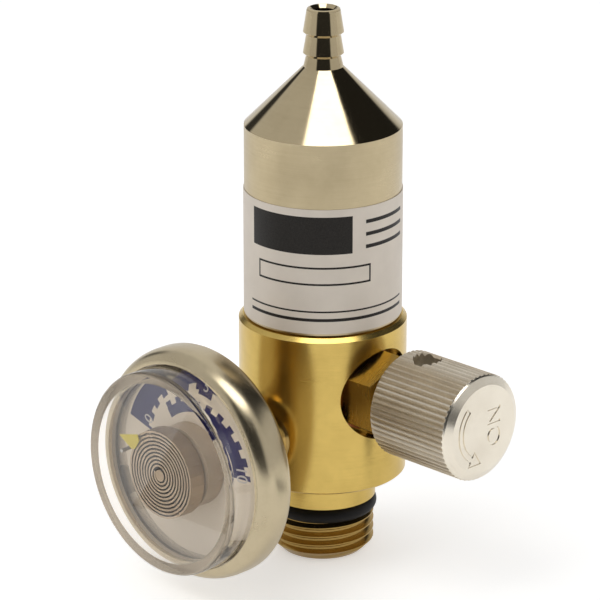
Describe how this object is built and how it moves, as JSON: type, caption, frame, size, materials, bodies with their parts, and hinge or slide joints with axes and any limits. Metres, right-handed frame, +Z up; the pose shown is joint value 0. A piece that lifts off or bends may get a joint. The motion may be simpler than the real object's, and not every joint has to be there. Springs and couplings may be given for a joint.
{
  "type": "gas cylinder regulator",
  "caption": "Fixed flow gas cylinder regulator with a brass body, plated outlet housing ending in a hose barb, side gauge under a clear lens and a knurled shut-off knob.",
  "frame": {"origin": "on the body axis where the full inlet thread starts above its lead chamfer", "axes": "+Z up the body axis to the hose barb, +X along the knob, the gauge faces -Y"},
  "size_m": [0.0512, 0.047, 0.0858],
  "materials": {
    "brass_body": "turned brass",
    "brass_insert": "turned brass",
    "brass_nut": "turned brass",
    "sintered_bronze": "sintered bronze",
    "copper_washer": "soft copper",
    "nickel_plate": "satin nickel plate over brass",
    "nickel_knob": "satin nickel plate over brass",
    "socket_plate": "bright nickel plate over brass",
    "case_plate": "nickel plated pressed steel",
    "case_inside": "moulded ring",
    "dial_paint": "printed sheet",
    "bronze": "bronze tube and fittings",
    "yellow_pointer": "painted sheet",
    "clear_plastic": "clear moulded plastic",
    "foil_label": "silvered paper label",
    "rubber": "black rubber",
    "white_seal": "soft white plastic",
    "spring_steel": "wound steel wire",
    "stainless_stem": "turned stainless steel",
    "dark_screw": "blackened steel"
  },
  "bodies": {
    "regulator": {"body": "brass_body", "inlet_oring": "rubber", "valve_depressor": "brass_insert", "inlet_filter": "sintered_bronze", "nozzle": "brass_insert", "piston_guide": "brass_insert", "guide_oring": "rubber", "piston_stem_oring": "rubber", "housing": "nickel_plate", "orifice_filter": "sintered_bronze", "flow_orifice": "brass_insert", "label": "foil_label", "regulator_spring": "spring_steel", "gland_nut": "brass_nut", "gland_washer": "copper_washer", "gauge_socket": "socket_plate", "socket_washer": "copper_washer", "gauge_restrictor": "brass_insert", "gauge_case": "case_plate", "dial_spacer": "case_inside", "dial": "dial_paint", "coil_post": "bronze", "coil_drum": "bronze", "bourdon_coil": "bronze", "stop_pin": "stainless_stem", "gauge_lens": "clear_plastic"},
    "piston": {"piston": "brass_insert", "piston_seat": "white_seal", "piston_oring": "rubber"},
    "poppet": {"poppet": "brass_insert", "poppet_seal": "white_seal"},
    "knob": {"valve_stem": "stainless_stem", "stem_oring": "rubber", "knob": "nickel_knob", "knob_set_screw": "dark_screw"},
    "pointer": {"pointer": "yellow_pointer"}
  },
  "joints": [
    {"name": "stem_lift", "type": "slide", "parent": "regulator", "child": "poppet", "axis": [1, 0, 0], "range_m": [0, 0.0015]},
    {"name": "knob_turn", "type": "hinge", "parent": "poppet", "child": "knob", "pos_m": [0, 0, 0.02675], "axis": [1, 0, 0], "range_deg": [0, 540]},
    {"name": "piston_slide", "type": "slide", "parent": "regulator", "child": "piston", "axis": [0, 0, 1], "range_m": [-0.0006, 0], "stiffness_N_per_m": 3000, "springref_m": 0.004, "deforming": ["regulator_spring"]},
    {"name": "gauge_pointer", "type": "hinge", "parent": "regulator", "child": "pointer", "pos_m": [-0.001, -0.033, 0.01905], "axis": [0, 1, 0], "range_deg": [0, 145], "stiffness_Nm_per_rad": 0.0001, "springref_deg": -2.86}
  ],
  "couplings": [
    {"joint": "knob_turn", "follows": "stem_lift", "rad_per_m": 6283.1}
  ]
}
